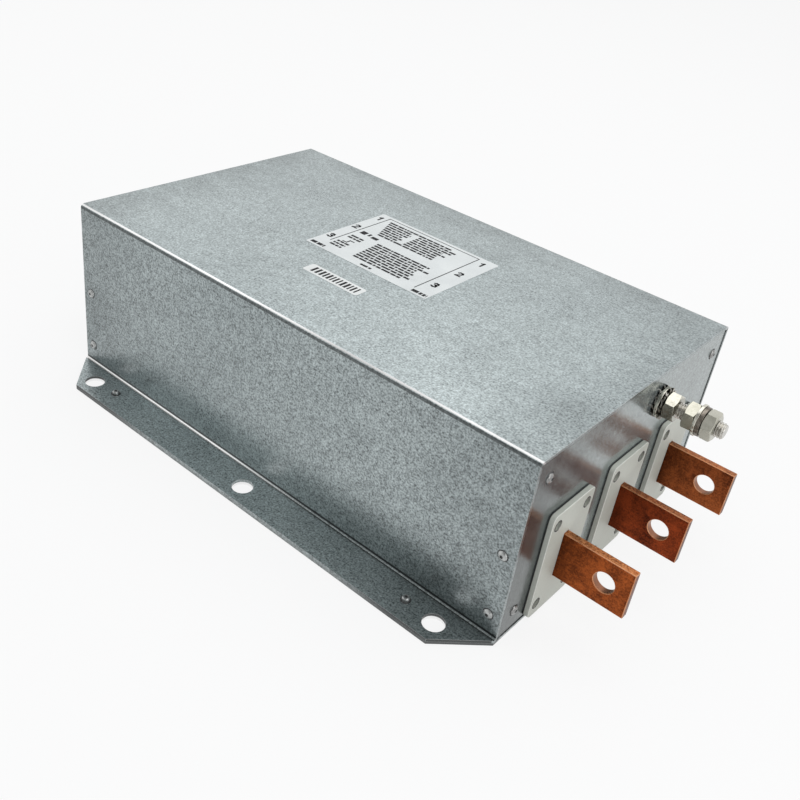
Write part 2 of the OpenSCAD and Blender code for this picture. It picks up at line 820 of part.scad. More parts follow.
module tap_nuts(end) {
    color("gainsboro") at_end(end) {
        at_bar_screws() translate([0, 0, -bar_thickness - lug_thickness - screw_nut_height])
            nut(screw_nut_across_flats, screw_nut_height, screw_d);
        at_lug_screws() translate([0, 0, board_top])
            nut(screw_nut_across_flats, screw_nut_height, screw_d);
        at_strap_screw() translate([0, 0, board_bottom - screw_nut_height])
            nut(screw_nut_across_flats, screw_nut_height, screw_d);
    }
}

cover();
base_plate();
end_wall(load);  // end_wall_load
end_wall(line);  // end_wall_line
corner_angles();
side_rivets();
end_wall_rivets();
flange_rivets();
busbar(phases[0]);  // busbar_1
busbar(phases[1]);  // busbar_2
busbar(phases[2]);  // busbar_3
terminal_plate(load, phases[0]);  // terminal_plate_load_1
terminal_plate(load, phases[1]);  // terminal_plate_load_2
terminal_plate(load, phases[2]);  // terminal_plate_load_3
terminal_plate(line, phases[0]);  // terminal_plate_line_1
terminal_plate(line, phases[1]);  // terminal_plate_line_2
terminal_plate(line, phases[2]);  // terminal_plate_line_3
plate_rivets(load);  // plate_rivets_load
plate_rivets(line);  // plate_rivets_line
earth_bolt(load);  // earth_bolt_load
earth_nuts(load);  // earth_nuts_load
earth_flat_washers(load);  // earth_flat_washers_load
earth_toothed_washers(load);  // earth_toothed_washers_load
earth_spring_washer(load);  // earth_spring_washer_load
earth_bolt(line);  // earth_bolt_line
earth_nuts(line);  // earth_nuts_line
earth_flat_washers(line);  // earth_flat_washers_line
earth_toothed_washers(line);  // earth_toothed_washers_line
earth_spring_washer(line);  // earth_spring_washer_line
rating_label();
serial_label();
insulation_sheet();
choke_core(load);  // choke_core_load
choke_core(line);  // choke_core_line
core_liner(load);  // core_liner_load
core_liner(line);  // core_liner_line
board(load);  // board_load
board(line);  // board_line
x_capacitors(load);  // x_capacitors_load
x_capacitors(line);  // x_capacitors_line
y_capacitors(load);  // y_capacitors_load
y_capacitors(line);  // y_capacitors_line
discharge_resistors(load);  // discharge_resistors_load
discharge_resistors(line);  // discharge_resistors_line
tap_lugs(load);  // tap_lugs_load
tap_lugs(line);  // tap_lugs_line
earth_strap(load);  // earth_strap_load
earth_strap(line);  // earth_strap_line
tap_screws(load);  // tap_screws_load
tap_screws(line);  // tap_screws_line
tap_nuts(load);  // tap_nuts_load
tap_nuts(line);  // tap_nuts_line
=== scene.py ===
import math
import random

import bmesh
import bpy
from mathutils import Matrix, Vector

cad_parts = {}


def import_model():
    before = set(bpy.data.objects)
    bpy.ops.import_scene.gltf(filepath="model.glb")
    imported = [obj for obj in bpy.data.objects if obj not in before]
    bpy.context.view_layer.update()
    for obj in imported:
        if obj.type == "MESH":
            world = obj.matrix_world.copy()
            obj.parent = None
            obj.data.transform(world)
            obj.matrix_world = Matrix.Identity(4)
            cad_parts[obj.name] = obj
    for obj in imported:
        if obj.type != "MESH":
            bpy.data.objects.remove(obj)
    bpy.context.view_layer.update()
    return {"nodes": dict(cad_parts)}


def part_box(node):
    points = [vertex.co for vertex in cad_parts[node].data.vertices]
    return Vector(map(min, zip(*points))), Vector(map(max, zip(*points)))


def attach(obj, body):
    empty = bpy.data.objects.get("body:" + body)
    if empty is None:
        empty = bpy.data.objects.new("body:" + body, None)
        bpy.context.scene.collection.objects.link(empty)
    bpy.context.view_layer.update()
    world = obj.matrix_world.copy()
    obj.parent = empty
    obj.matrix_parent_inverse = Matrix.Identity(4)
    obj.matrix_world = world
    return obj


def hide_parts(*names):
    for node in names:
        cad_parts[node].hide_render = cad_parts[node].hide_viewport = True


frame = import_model()
nodes = frame["nodes"]

MM = 0.001
ENDS = {"load": 1, "line": -1}


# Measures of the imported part, in millimetres

def corners(node):
    """The low and the high corner of a node's box."""
    return [[value / MM for value in corner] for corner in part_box(node)]


def solids(node):
    """The low and the high corner of each separate solid of a node, sorted by place."""
    work = bmesh.new()
    work.from_mesh(nodes[node].data)
    bmesh.ops.remove_doubles(work, verts=work.verts, dist=0.000001)
    left, found = set(work.verts), []
    while left:
        group, front = [], [left.pop()]
        while front:
            vert = front.pop()
            group.append(vert.co)
            for edge in vert.link_edges:
                other = edge.other_vert(vert)
                if other in left:
                    left.remove(other)
                    front.append(other)
        low = [min(p[i] for p in group) / MM for i in range(3)]
        high = [max(p[i] for p in group) / MM for i in range(3)]
        found.append((low, high))
    work.free()
    return sorted(found)


SHEET_THICKNESS = 1.5
SHEET_GAP = 0.2
COVER_LOW, COVER_HIGH = corners("cover")
HALF_LENGTH, FLANGE_EDGE, HIGH = COVER_HIGH
FLANGE_TOP = COVER_LOW[2] + SHEET_THICKNESS
END_WALL_HIGH = corners("end_wall_load")[1]
WALL_FACE = END_WALL_HIGH[0]
HALF_WIDTH = END_WALL_HIGH[1] + SHEET_GAP + SHEET_THICKNESS
CORNER_CUT = HALF_LENGTH + HALF_WIDTH  # x + y along the slanting ends of the flanges
PLATE_BACK = corners("terminal_plate_load_1")[0][0]
PLATE_FACE = corners("terminal_plate_load_1")[1][0]
BAR_LOW, BAR_HIGH = corners("busbar_1")
BAR_HOLE_FROM_TIP = 12.5
BAR_HOLE_X = BAR_HIGH[0] - BAR_HOLE_FROM_TIP
BAR_HOLE_Z = (BAR_LOW[2] + BAR_HIGH[2]) / 2
BAR_HOLE_RADIUS = 5.25
NUT_HEIGHT = 5.8
NUT_STARTS = [low[0] for low, _ in solids("earth_nuts_load")]


# Node trees

class Number:
    """A number in a node tree: sums with it make the nodes."""

    def __init__(self, tree, socket):
        self.tree = tree
        self.socket = socket

    def apply(self, operation, a, b=0.0):
        node = add(self.tree, "ShaderNodeMath", {0: a, 1: b}, operation=operation)
        return Number(self.tree, node.outputs[0])

    def __add__(self, other):
        return self.apply("ADD", self, other)

    def __sub__(self, other):
        return self.apply("SUBTRACT", self, other)

    def __rsub__(self, other):
        return self.apply("SUBTRACT", other, self)

    def __mul__(self, other):
        return self.apply("MULTIPLY", self, other)

    def __truediv__(self, other):
        return self.apply("DIVIDE", self, other)

    def __pow__(self, other):
        return self.apply("POWER", self, other)

    def __abs__(self):
        return self.apply("ABSOLUTE", self)

    def root(self):
        return self.apply("SQRT", self)

    def most(self, other):
        return self.apply("MAXIMUM", self, other)

    def remap(self, low, high, to_low=0.0, to_high=1.0):
        """The range from low to high carried over to another range, and held at its ends."""
        ranges = {"Value": self, "From Min": low, "From Max": high, "To Min": to_low, "To Max": to_high}
        return Number(self.tree, add(self.tree, "ShaderNodeMapRange", ranges).outputs["Result"])

    def window(self, low, high, soft):
        """1 between low and high, 0 outside, with soft borders."""
        return self.remap(low - soft, low) * self.remap(high + soft, high)


def put(tree, socket, value):
    """Links a socket to a value of the tree, or sets it to a plain one."""
    if isinstance(value, Number):
        value = value.socket
    if isinstance(value, bpy.types.NodeSocket):
        tree.links.new(value, socket)
    else:
        socket.default_value = value


def add(tree, kind, inputs=None, **settings):
    """A new node: inputs are set or linked by name or place, settings are its own properties."""
    made = tree.nodes.new(kind)
    for key, value in settings.items():
        setattr(made, key, value)
    for key, value in (inputs or {}).items():
        put(tree, made.inputs[key], value)
    return made


def place(tree, stretch=(1, 1, 1)):
    """The point on the object in millimetres, stretched along each axis."""
    coordinates = add(tree, "ShaderNodeTexCoord").outputs["Object"]
    scale = [s / MM for s in stretch]
    return add(tree, "ShaderNodeMapping", {"Vector": coordinates, "Scale": scale}).outputs["Vector"]


def split(tree, vector):
    return [Number(tree, part) for part in add(tree, "ShaderNodeSeparateXYZ", {0: vector}).outputs]


def point(tree):
    """The object's x, y and z in millimetres."""
    return split(tree, place(tree))


def facing(tree):
    """The x, y and z of the way that the face looks."""
    return split(tree, add(tree, "ShaderNodeNewGeometry").outputs["True Normal"])


def noise(tree, size, detail=2.0, rough=0.5, stretch=(1, 1, 1), shift=0.0):
    """Noise from 0 to 1 whose features are about size millimetres across."""
    where = place(tree, stretch)
    if shift:
        moved = {0: where, 1: (shift, shift, shift)}
        where = add(tree, "ShaderNodeVectorMath", moved, operation="ADD").outputs[0]
    settings = {"Vector": where, "Scale": 1 / size, "Detail": detail, "Roughness": rough}
    return Number(tree, add(tree, "ShaderNodeTexNoise", settings).outputs["Fac"])


def grey(tree, level):
    return add(tree, "ShaderNodeCombineColor", {0: level, 1: level, 2: level}).outputs[0]


def blend(tree, share, a, b, kind="MIX"):
    """Colour a turning into colour b by the share."""
    mixed = add(tree, "ShaderNodeMix", data_type="RGBA", blend_type=kind)
    put(tree, mixed.inputs[0], share)
    for socket, colour in ((mixed.inputs[6], a), (mixed.inputs[7], b)):
        put(tree, socket, colour if isinstance(colour, bpy.types.NodeSocket) else (*colour, 1.0))
    return mixed.outputs[2]


def scaled(tree, colour, level):
    """The colour made darker or brighter by the level."""
    return blend(tree, 1.0, colour, grey(tree, level), "MULTIPLY")


def shade(colour, factor):
    return [min(1.0, channel * factor) for channel in colour]


def material(name):
    made = bpy.data.materials.new(name)
    made.use_nodes = True
    tree = made.node_tree
    return made, tree, tree.nodes["Principled BSDF"]


def finish(tree, shader, colour, rough, metallic):
    put(tree, shader.inputs["Base Color"], colour)
    put(tree, shader.inputs["Roughness"], rough)
    put(tree, shader.inputs["Metallic"], metallic)


def bump(tree, shader, height, strength, depth):
    """Relief of the given depth in millimetres."""
    made = add(tree, "ShaderNodeBump", {"Height": height, "Strength": strength, "Distance": depth * MM})
    tree.links.new(made.outputs["Normal"], shader.inputs["Normal"])


# Kinds of surface

def plain(name, dark, light, rough, metallic=0.0, cloud=12.0, grain=0.6, grain_share=0.3,
          relief=0.02, marks=None, **sockets):
    """A surface mottled between two colours, with fine grain in its colour, gloss and relief."""
    made, tree, shader = material(name)
    clouds = noise(tree, cloud, 4.0, 0.6)
    grains = noise(tree, grain)
    both = clouds * (1 - grain_share) + grains * grain_share
    colour = blend(tree, both.remap(0.32, 0.68), dark, light)
    if marks:
        colour = marks(tree, colour)
    finish(tree, shader, colour, both.remap(0.3, 0.7, *rough), metallic)
    for key, value in sockets.items():
        shader.inputs[key.replace("_", " ")].default_value = value
    bump(tree, shader, grains, 0.5, relief)
    return made


def galvanised(name, dark, light, rough, metallic, speckle, relief, smudge, marks):
    """Zinc-coated sheet: bright and dark grains, soft clouds, smudges, and marks that paint highlights
    and shade on it.
    """
    made, tree, shader = material(name)
    clouds = noise(tree, 44.0, 4.0, 0.55, (0.7, 1, 1))
    wide = noise(tree, 120.0, shift=31.0)
    fine = noise(tree, 0.95, 2.5, 0.62)
    coarse = noise(tree, 3.4, 2.0, 0.55, shift=7.0)
    blotches = noise(tree, 27.0, 5.0, 0.6, (0.7, 1.2, 1), 53.0)
    streaks = noise(tree, 5.0, 3.0, 0.6, (0.06, 1.0, 0.5), 17.0)
    grains = fine * 0.82 + coarse * 0.18
    colour = blend(tree, (clouds * 0.5 + wide * 0.5).remap(0.36, 0.64), dark, light)
    colour = scaled(tree, colour, grains.remap(0.32, 0.68, 1 - speckle, 1 + speckle))
    colour, darkening = marks(tree, colour, blotches)
    # The marks' darkening includes painted shade: low on the cover's walls towards the load end, and on
    # the end sheet towards its side edge at negative y.
    colour = scaled(tree, colour, 1.0 - blotches.remap(0.55, 0.72, 0.0, smudge).most(darkening))
    colour = blend(tree, streaks.remap(0.66, 0.76, 0.0, 0.12), colour, shade(light, 1.3))
    gloss = clouds * 0.6 + fine * 0.4
    finish(tree, shader, colour, gloss.remap(0.3, 0.7, *rough), metallic)
    bump(tree, shader, grains, 0.6, relief)
    return made


def upright(tree):
    """1 on faces that stand upright, 0 on flat ones."""
    return abs(facing(tree)[2]).remap(0.6, 0.3)


def rim_dirt(along):
    """Dull towards both ends of the flange's edge, cleaner in the middle."""
    return 1.0 - along.window(-60.0, 70.0, 35.0) * 0.6


def cover_places(tree):
    """Place along the cover, its distance out from the long wall and its height over the flange."""
    x, y, z = point(tree)
    return x, abs(y) - HALF_WIDTH, z - FLANGE_TOP


def top_face(z):
    return z.remap(HIGH - 0.6, HIGH - 0.3)


def cover_faces(tree, colour):
    """The top is made paler as painted light, most at its near side and towards the load end; the flanges
    are made paler as painted light, and darker towards the load end as painted shade.
    """
    along, out, rise = cover_places(tree)
    _, y, z = point(tree)
    on_flange = rise.remap(0.3, 0.1) * out.remap(1.0, 2.0)
    painted_top_light = y.remap(-HALF_WIDTH, HALF_WIDTH, 0.27, 0.17) + along.remap(-50.0, HALF_LENGTH, 0.0, 0.06)
    # Painted light: the top tinted and brightened, and the flanges brightened.
    colour = blend(tree, top_face(z) * 0.25, colour, (0.313, 0.352, 0.356))
    colour = scaled(tree, colour, on_flange * 0.32 + (top_face(z) * painted_top_light + 1.0))
    # Painted shade: the flanges darkened towards the load end.
    return blend(tree, along.remap(-20.0, 130.0, 0.0, 0.20) * on_flange, colour, (0.0, 0.0, 0.0))


def cover_bends(tree, colour):
    """The upper bends get a painted highlight above and painted shade below; the lower fillets get a
    painted highlight towards the line end, painted shade towards the load end, and a band of painted
    shade just above them.
    """
    along, out, rise = cover_places(tree)
    _, _, z = point(tree)
    painted_shade = (0.06, 0.065, 0.065)
    lean = out + (HIGH - z) + along.remap(-HALF_LENGTH, HALF_LENGTH, -0.25, 0.45)
    fillet = out.window(0.03, 1.3, 0.08) * rise.window(-0.2, 0.68, 0.08)
    foot = fillet * along.remap(-70.0, 40.0, 1.0, 0.0)
    above_foot = out.window(-0.3, 0.02, 0.05) * rise.window(0.75, 1.7, 0.3)
    level = along.remap(-30.0, 45.0, 0.95, 0.40) + along.remap(60.0, 145.0, 0.0, 0.26)
    # Painted highlight along the upper bends, and in the lower fillet towards the line end.
    colour = blend(tree, lean.window(-1.5, -0.35, 0.35).most(foot), colour, grey(tree, level))
    colour = blend(tree, foot, colour, (0.94, 0.94, 0.93))
    # Painted shade in the lower fillet towards the load end, on the wall side of the upper bends, and
    # just above the lower fillet.
    colour = blend(tree, fillet * along.remap(-20.0, 40.0, 0.0, 0.5), colour, painted_shade)
    return blend(tree, (lean.window(0.5, 2.0, 0.3) * 0.75).most(above_foot * 0.9), colour, painted_shade)


def cover_edges(tree, colour):
    """The cut edges of the flanges are dull."""
    along, out, rise = cover_places(tree)
    low = rise.remap(0.1, -0.05) * out.remap(1.5, 2.0)
    return blend(tree, low * upright(tree) * rim_dirt(along), colour, (0.10, 0.105, 0.105))


def cover_darkening(tree, blotches):
    """The top darker towards its far rim and its ends, the walls darker towards the ends, and painted
    shade low on the walls towards the load end.
    """
    along, _, rise = cover_places(tree)
    x, y, z = point(tree)
    side, ends = y / HALF_WIDTH, abs(x) / HALF_LENGTH
    wobble = blotches.remap(0.35, 0.65, -0.13, 0.13)
    rim = (side.most(ends - 0.03) + wobble).remap(0.72, 1.0, 0.0, 0.22) * top_face(z)
    wall = (ends + wobble).remap(0.55, 1.04, 0.0, 0.22) * z.remap(HIGH - 0.6, HIGH - 2.4)
    # Painted shade low on the walls, growing towards the load end.
    foot = rise.remap(34.0, 4.0) * along.remap(10.0, 110.0, 0.0, 0.34) * rise.remap(0.2, 0.6)
    return rim.most(wall.most(foot))


def cover_marks(tree, colour, blotches):
    colour = cover_faces(tree, colour)
    colour = cover_bends(tree, colour)
    colour = cover_edges(tree, colour)
    return colour, cover_darkening(tree, blotches)


def base_marks(tree, colour, blotches):
    """Punched holes whose walls are near white as a painted reflection of the white floor, and a dull
    outer rim.
    """
    along, y, _ = point(tree)
    x, y = abs(along), abs(y)
    rim = y.remap(FLANGE_EDGE - 1.5, FLANGE_EDGE - 1.0)
    cut = (x + y).remap(CORNER_CUT - 3.0, CORNER_CUT - 2.0)
    hole = y.remap(HALF_WIDTH + 2.0, HALF_WIDTH + 3.0) * (1.0 - rim) * (1.0 - cut)
    # Painted reflection: the holes' walls near white.
    colour = blend(tree, upright(tree) * hole, colour, (0.94, 0.94, 0.94))
    dull = rim.most(cut) * rim_dirt(along)
    return blend(tree, upright(tree) * dull, colour, (0.12, 0.125, 0.125)), 0.0


def wall_painted_shade(tree, colour, blotches):
    """Painted shade: the end sheet darkened towards its side edge at negative y."""
    _, y, _ = point(tree)
    wobble = blotches.remap(0.35, 0.65, -10.0, 10.0)
    return colour, (y + wobble).remap(74.0 - HALF_WIDTH, 8.0 - HALF_WIDTH, 0.0, 0.68)


def bar_marks(tree, colour, dark, painted_sheen_share):
    """A pale hole, a dark root and tip, and sheared long sides made brighter in mottled patches as a
    painted sheen.
    """
    x, _, z = point(tree)
    x = abs(x)
    way_x, _, way_z = facing(tree)
    away = ((x - BAR_HOLE_X) ** 2.0 + (z - BAR_HOLE_Z) ** 2.0).root()
    off_hole = away.remap(BAR_HOLE_RADIUS + 0.4, BAR_HOLE_RADIUS + 0.6)
    in_hole = away.remap(BAR_HOLE_RADIUS + 0.15, BAR_HOLE_RADIUS + 0.05)
    colour = blend(tree, in_hole, colour, (0.30, 0.14, 0.085))
    by_plate = x.remap(HALF_LENGTH + 5.0, HALF_LENGTH + 9.0, 0.35, 0.0)
    colour = blend(tree, by_plate, colour, shade(dark, 0.8))
    tip = abs(way_x).remap(0.75, 0.85, 0.0, 0.5) * off_hole
    colour = blend(tree, tip, colour, dark)
    # Painted sheen on the sheared long sides, mottled.
    sheared = abs(way_z).remap(0.75, 0.85) * off_hole
    return blend(tree, sheared * painted_sheen_share, colour, (0.66, 0.29, 0.12))


def copper(name, dark, light, painted_sheen):
    """Bare copper bar: mottled brown with fine lines, specks and rubbed spots."""
    made, tree, shader = material(name)
    clouds = noise(tree, 11.0, 3.0, 0.5, (1.0, 1, 0.7))
    mottle = noise(tree, 1.3, 3.0, 0.7, shift=3.0)
    lines = noise(tree, 1.3, 3.0, 0.6, (0.10, 1, 1.0), 5.0)
    specks = noise(tree, 0.75, shift=11.0)
    wear_and_highlight = noise(tree, 9.0, 4.0, 0.6, shift=23.0)
    tone = clouds * 0.56 + mottle * 0.29 + lines * 0.15
    colour = blend(tree, tone.remap(0.40, 0.60), dark, light)
    colour = blend(tree, specks.remap(0.53, 0.64, 0.0, 0.36), colour, shade(dark, 0.4))
    colour = blend(tree, specks.remap(0.46, 0.34, 0.0, 0.25), colour, shade(light, 1.6))
    colour = blend(tree, wear_and_highlight.remap(0.56, 0.72, 0.0, 0.45), colour, shade(light, 1.5))
    colour = bar_marks(tree, colour, dark, mottle.remap(0.38, 0.6, painted_sheen * 0.15, painted_sheen))
    finish(tree, shader, colour, tone.remap(0.35, 0.65, 0.26, 0.48), 0.94)
    bump(tree, shader, mottle + specks, 0.7, 0.06)
    return made


def plate_joint_shadow(tree, colour):
    """Painted shadow: a dark line on the plate where it meets the end sheet."""
    x = abs(point(tree)[0])
    return blend(tree, x.remap(PLATE_BACK + 0.75, PLATE_BACK + 0.45), colour, (0.02, 0.02, 0.018))


def nut_marks(tree, colour):
    """The first nut shines most, and its downward faces are darkened as painted shade."""
    x = abs(point(tree)[0])
    first_end = NUT_STARTS[0] + NUT_HEIGHT
    first = x.remap(first_end + 1.2, first_end + 0.7)
    colour = blend(tree, first.remap(0.0, 1.0, 0.45, 0.2), colour, (0.36, 0.355, 0.28))
    # Painted shade on the first nut's downward faces.
    underside_shade = first * facing(tree)[2].remap(0.1, -0.1, 0.0, 0.92)
    return blend(tree, underside_shade, colour, (0.09, 0.095, 0.065))


def dull_last_nut(made):
    """The last nut is matt rather than bright."""
    tree = made.node_tree
    x = abs(point(tree)[0])
    metallic = x.remap(NUT_STARTS[2] - 1.0, NUT_STARTS[2] - 0.5, 1.0, 0.45)
    put(tree, tree.nodes["Principled BSDF"].inputs["Metallic"], metallic)


# Surfaces: dark and light colour, then the range of roughness; cloud, grain and relief in millimetres

SHEET = galvanised("galvanised sheet", (0.283, 0.320, 0.325), (0.343, 0.384, 0.388), (0.25, 0.38),
                   metallic=0.96, speckle=0.66, relief=0.06, smudge=0.10, marks=cover_marks)
BASE = galvanised("galvanised base", (0.265, 0.29, 0.295), (0.35, 0.38, 0.38), (0.25, 0.38),
                  metallic=0.96, speckle=0.5, relief=0.05, smudge=0.2, marks=base_marks)
WALL = galvanised("smooth end sheet", (0.28, 0.316, 0.313), (0.34, 0.377, 0.374), (0.17, 0.27),
                  metallic=0.60, speckle=0.42, relief=0.03, smudge=0.12, marks=wall_painted_shade)
# The cut sheet edges' tone, made paler as a painted highlight; the cover shows it on its rounded edges.
LIT_CUT_EDGE = plain("cut sheet edge with painted highlight", (0.42, 0.43, 0.42), (0.66, 0.67, 0.66), (0.3, 0.5), metallic=0.8)
# Painted shadow: dark rings laid on the sheet round the rivets.
RIVET_SHADOW = plain("painted shadow round the rivets", (0.02, 0.02, 0.02), (0.07, 0.07, 0.07), (0.6, 0.8),
             cloud=1.0, grain=0.3)
RIVET = plain("rivet steel", (0.30, 0.31, 0.31), (0.58, 0.59, 0.58), (0.20, 0.40),
              metallic=0.9, cloud=2.0, grain=0.5)
# Painted shade: a darker copy of the rivet steel, used on the end-sheet rivets.
SHADED_RIVET = plain("darker rivet steel as painted shade", (0.16, 0.16, 0.16), (0.42, 0.42, 0.41), (0.14, 0.30),
                   metallic=1.0, cloud=1.2, grain=0.4)
SUNK_RIVET = plain("sunk rivet steel", (0.42, 0.42, 0.39), (0.62, 0.62, 0.57), (0.3, 0.5),
                   metallic=0.45, cloud=1.5, grain=0.4)
# Painted shade: the mandrels are near black, standing for the shaded hollow in each rivet head.
MANDREL_IN_SHADE = plain("broken mandrel in painted shade", (0.015, 0.015, 0.015), (0.06, 0.06, 0.06), (0.5, 0.8),
                metallic=0.4, cloud=1.0, grain=0.3)
COPPERS = [copper("copper bar 1", (0.085, 0.017, 0.004), (0.36, 0.085, 0.018), painted_sheen=0.75),
           copper("copper bar 2", (0.060, 0.010, 0.003), (0.275, 0.047, 0.011), painted_sheen=0.45),
           copper("copper bar 3", (0.070, 0.015, 0.004), (0.30, 0.078, 0.021), painted_sheen=0.45)]
# Painted highlight on the bars' rounded edges.
COPPER_EDGE_HIGHLIGHT = plain("copper edge with painted highlight", (0.46, 0.19, 0.09), (0.68, 0.35, 0.19), (0.22, 0.38),
                    metallic=1.0, cloud=4.0)
PLATE = plain("pale laminate", (0.49, 0.505, 0.45), (0.585, 0.60, 0.54), (0.42, 0.60),
              cloud=22.0, grain=0.9, grain_share=0.35, relief=0.015, marks=plate_joint_shadow)
# Painted highlight on the plates' rounded edges.
PLATE_EDGE_HIGHLIGHT = plain("laminate edge with painted highlight", (0.65, 0.66, 0.61), (0.77, 0.78, 0.72), (0.42, 0.60),
                   cloud=9.0, marks=plate_joint_shadow)
NUT = plain("nickel plating", (0.42, 0.405, 0.35), (0.76, 0.74, 0.66), (0.12, 0.28),
            metallic=1.0, cloud=4.0, grain=0.7, grain_share=0.35, relief=0.012, marks=nut_marks)
dull_last_nut(NUT)
WASHER = plain("plated washer", (0.42, 0.405, 0.35), (0.74, 0.72, 0.64), (0.14, 0.30),
               metallic=1.0, cloud=4.0, grain=0.7, grain_share=0.35, relief=0.012)
TOOTHED = plain("toothed washer steel", (0.20, 0.19, 0.17), (0.46, 0.44, 0.40), (0.2, 0.36),
                metallic=1.0, cloud=3.0, grain=0.5)
BOLT = plain("bolt steel", (0.34, 0.33, 0.30), (0.70, 0.68, 0.63), (0.14, 0.30),
             metallic=1.0, cloud=3.0, grain=0.5, grain_share=0.4)
SPRING = plain("dark washer steel", (0.10, 0.085, 0.07), (0.30, 0.27, 0.23), (0.20, 0.38),
               metallic=1.0, cloud=3.0, grain=0.5)
FILM = plain("label film", (0.64, 0.67, 0.67), (0.74, 0.77, 0.765), (0.34, 0.46),
             cloud=14.0, grain=0.8, relief=0.006)
PALE_FILM = plain("serial film", (0.70, 0.72, 0.71), (0.78, 0.80, 0.79), (0.34, 0.46),
                  cloud=14.0, grain=0.8, relief=0.006)
INK = plain("printing ink", (0.004, 0.004, 0.005), (0.016, 0.016, 0.018), (0.55, 0.75),
            cloud=3.0, grain=0.4, Specular_IOR_Level=0.25)
INSULATION = plain("insulating sheet", (0.20, 0.22, 0.15), (0.34, 0.36, 0.26), (0.5, 0.7))
CORE = plain("core coating", (0.03, 0.045, 0.045), (0.08, 0.11, 0.11), (0.22, 0.42),
             cloud=9.0, grain=1.4, grain_share=0.5, relief=0.10, Coat_Weight=0.4)
LINER = plain("liner plastic", (0.62, 0.60, 0.50), (0.78, 0.76, 0.67), (0.40, 0.58))
BOARD = plain("board laminate", (0.012, 0.09, 0.035), (0.03, 0.16, 0.07), (0.22, 0.40),
              cloud=6.0, grain=0.5, grain_share=0.4, Coat_Weight=0.5)
X_CASE = plain("grey capacitor case", (0.40, 0.41, 0.40), (0.54, 0.55, 0.54), (0.28, 0.45))
Y_CASE = plain("blue capacitor case", (0.03, 0.10, 0.30), (0.06, 0.17, 0.42), (0.25, 0.42))
CERAMIC = plain("resistor ceramic", (0.42, 0.35, 0.26), (0.56, 0.48, 0.38), (0.4, 0.6),
                cloud=4.0, grain=0.4)
BRASS = plain("brass strip", (0.50, 0.34, 0.12), (0.80, 0.60, 0.28), (0.2, 0.4), metallic=1.0, cloud=6.0)
INNER_STEEL = plain("inner plated steel", (0.42, 0.42, 0.39), (0.72, 0.72, 0.68), (0.2, 0.4),
                    metallic=1.0, cloud=5.0)


# Pieces of the part: their surfaces, and edges rounded by a modifier

def dress(node, *materials):
    piece = nodes[node]
    piece.data.materials.clear()
    for made in materials:
        piece.data.materials.append(made)


def soften(node, width, wear_and_highlight=False, clamp=True):
    """Rounds the sharp edges; where asked, the rounded edges show the node's second material, a painted
    edge highlight.

    Clamping shrinks the rounding where a hole's short edges are near, to nothing on bars and plates.
    """
    weld = nodes[node].modifiers.new("weld", "WELD")
    weld.merge_threshold = 0.000002
    flat = nodes[node].modifiers.new("flat faces", "DECIMATE")
    flat.decimate_type = "DISSOLVE"
    flat.angle_limit = math.radians(0.6)
    made = nodes[node].modifiers.new("edges", "BEVEL")
    made.width = width * MM
    made.segments = 2
    made.limit_method = "ANGLE"
    made.angle_limit = math.radians(32.0)
    made.use_clamp_overlap = clamp
    if wear_and_highlight:
        made.material = 1
    nodes[node].modifiers.new("normals", "WEIGHTED_NORMAL").keep_sharp = False


BARS = ["busbar_%d" % number for number in (1, 2, 3)]
PLATES = [name for name in nodes if name.startswith("terminal_plate")]

SURFACES = {
    "cover": (SHEET, LIT_CUT_EDGE), "base_plate": (BASE, LIT_CUT_EDGE), "corner_angles": (BASE, LIT_CUT_EDGE),
    "side_rivets": (RIVET,), "flange_rivets": (RIVET,), "end_wall_rivets": (SHADED_RIVET,),
    "insulation_sheet": (INSULATION,),
}
SURFACES_BY_END = {
    "end_wall_": (WALL, LIT_CUT_EDGE), "plate_rivets_": (SUNK_RIVET,), "earth_nuts_": (NUT,),
    "earth_flat_washers_": (WASHER,), "earth_toothed_washers_": (TOOTHED,), "earth_bolt_": (BOLT,),
    "earth_spring_washer_": (SPRING,), "choke_core_": (CORE,), "core_liner_": (LINER,),
    "board_": (BOARD,), "x_capacitors_": (X_CASE,), "y_capacitors_": (Y_CASE,),
    "discharge_resistors_": (CERAMIC,), "tap_lugs_": (BRASS,), "earth_strap_": (INNER_STEEL,),
    "tap_screws_": (INNER_STEEL,), "tap_nuts_": (INNER_STEEL,),
}
for name, materials in SURFACES.items():
    dress(name, *materials)
for end in ENDS:
    for start, materials in SURFACES_BY_END.items():
        dress(start + end, *materials)
for name, bar in zip(BARS, COPPERS):
    dress(name, bar, COPPER_EDGE_HIGHLIGHT)
for name in PLATES:
    dress(name, PLATE, PLATE_EDGE_HIGHLIGHT)

# The cover, the bars and the plates show a painted highlight on their rounded edges.
soften("cover", 0.18, wear_and_highlight=True)
soften("base_plate", 0.15)
for end in ENDS:
    soften("end_wall_" + end, 0.15)
    soften("earth_nuts_" + end, 0.22)
    soften("earth_flat_washers_" + end, 0.2)
    soften("earth_spring_washer_" + end, 0.2)
for name in BARS:
    soften(name, 0.35, wear_and_highlight=True, clamp=False)
for name in PLATES:
    soften(name, 0.3, wear_and_highlight=True, clamp=False)


# Meshes of the scene's own, given in millimetres

def mesh_piece(name, points, faces, made):
    mesh = bpy.data.meshes.new(name)
    mesh.from_pydata([[c * MM for c in p] for p in points], [], faces)
    mesh.materials.append(made)
    piece = bpy.data.objects.new(name, mesh)
    bpy.context.scene.collection.objects.link(piece)
    return piece


def band(first, count):
    """Faces between one ring of points and the next, which starts count points later."""
    return [(first + k, first + (k + 1) % count, first + count + (k + 1) % count, first + count + k)
            for k in range(count)]


def wound(faces, out):
    """The faces as they are, or turned over where out is negative."""
    return faces if out > 0 else [face[::-1] for face in faces]


